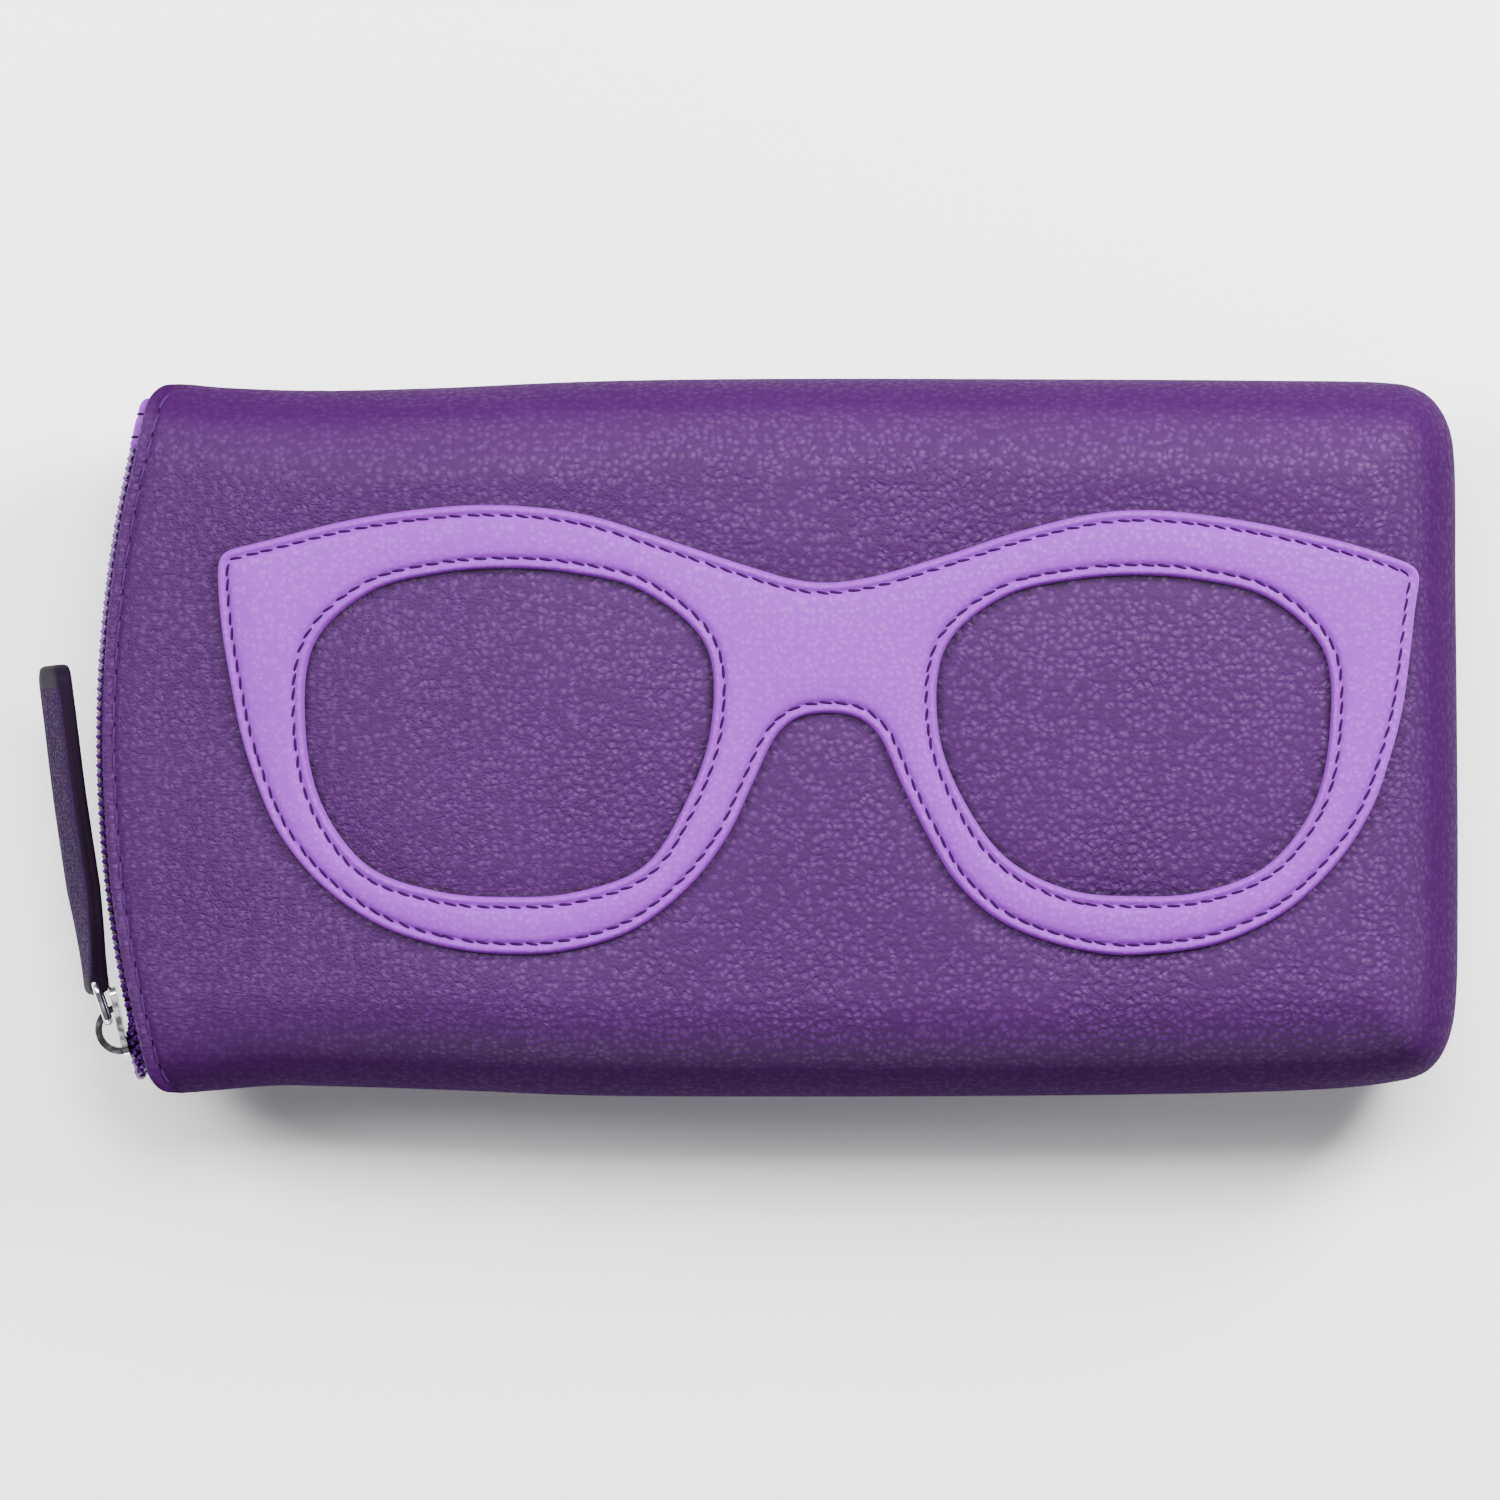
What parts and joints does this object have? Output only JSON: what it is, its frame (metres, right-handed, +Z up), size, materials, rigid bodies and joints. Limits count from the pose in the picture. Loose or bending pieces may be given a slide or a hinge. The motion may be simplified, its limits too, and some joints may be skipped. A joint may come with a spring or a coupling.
{
  "type": "glasses case",
  "caption": "Flat padded leather case for glasses, with a divider inside, a spectacle-shaped applique and a curved zip across one short end.",
  "frame": {"origin": "middle of the flat back face, which the case lies on", "axes": "+X along the case from the zipped mouth to the closed end, +Y across it towards the closed end of the zip, +Z up out of the front with the applique"},
  "size_m": [0.1859, 0.0936, 0.0395],
  "materials": {
    "purple_leather": "pebbled, satin",
    "lilac_leather": "smooth, satin",
    "strap_leather": "smooth with a dark painted edge",
    "foam": "soft foam",
    "lining_cloth": "brushed cloth",
    "board": "matt",
    "thread": "twisted thread",
    "zip_tape": "woven",
    "zip_coil": "satin nylon",
    "chrome": "polished"
  },
  "bodies": {
    "case": {"front_panel": "purple_leather", "back_panel": "purple_leather", "front_padding": "foam", "back_padding": "foam", "front_lining": "lining_cloth", "back_lining": "lining_cloth", "divider_board": "board", "divider_cover": "lining_cloth", "glasses_applique": "lilac_leather", "applique_edge_stitching": "thread", "left_lens_stitching": "thread", "right_lens_stitching": "thread", "front_mouth_stitching": "thread", "back_mouth_stitching": "thread", "front_zip_tape": "zip_tape", "back_zip_tape": "zip_tape", "front_zip_coil": "zip_coil", "back_zip_coil": "zip_coil", "zip_end_tab": "lilac_leather", "zip_end_tab_stitching": "thread"},
    "front_lip": {"front_panel_lip": "purple_leather", "front_padding_lip": "foam", "front_lining_lip": "lining_cloth", "glasses_applique_lip": "lilac_leather", "applique_edge_stitching_lip": "thread", "left_lens_stitching_lip": "thread", "front_mouth_stitching_lip": "thread", "front_zip_tape_lip": "zip_tape", "front_zip_coil_lip": "zip_coil"},
    "slider": {"slider_body": "chrome"},
    "pull_ring": {"pull_ring": "chrome"},
    "pull_strap": {"pull_strap": "strap_leather"}
  },
  "joints": [
    {"name": "front_lip_open", "type": "hinge", "parent": "case", "child": "front_lip", "pos_m": [-0.025, 0, 0.0385], "axis": [0, 1, 0], "range_deg": [0, 16]},
    {"name": "zip_slide", "type": "hinge", "parent": "case", "child": "slider", "pos_m": [0.0768, 0, 0.019], "axis": [0, 0, -1], "range_deg": [0, 24]},
    {"name": "pull_ring_turn", "type": "hinge", "parent": "slider", "child": "pull_ring", "pos_m": [-0.08758, -0.03704, 0.019], "axis": [0, 0, 1], "range_deg": [0, 100]},
    {"name": "pull_strap_turn", "type": "hinge", "parent": "pull_ring", "child": "pull_strap", "pos_m": [-0.08925, -0.03212, 0.019], "axis": [0, 0, 1], "range_deg": [0, 60]}
  ],
  "couplings": [
    {"joint": "zip_slide", "follows": "front_lip_open", "ratio": 1.5}
  ]
}
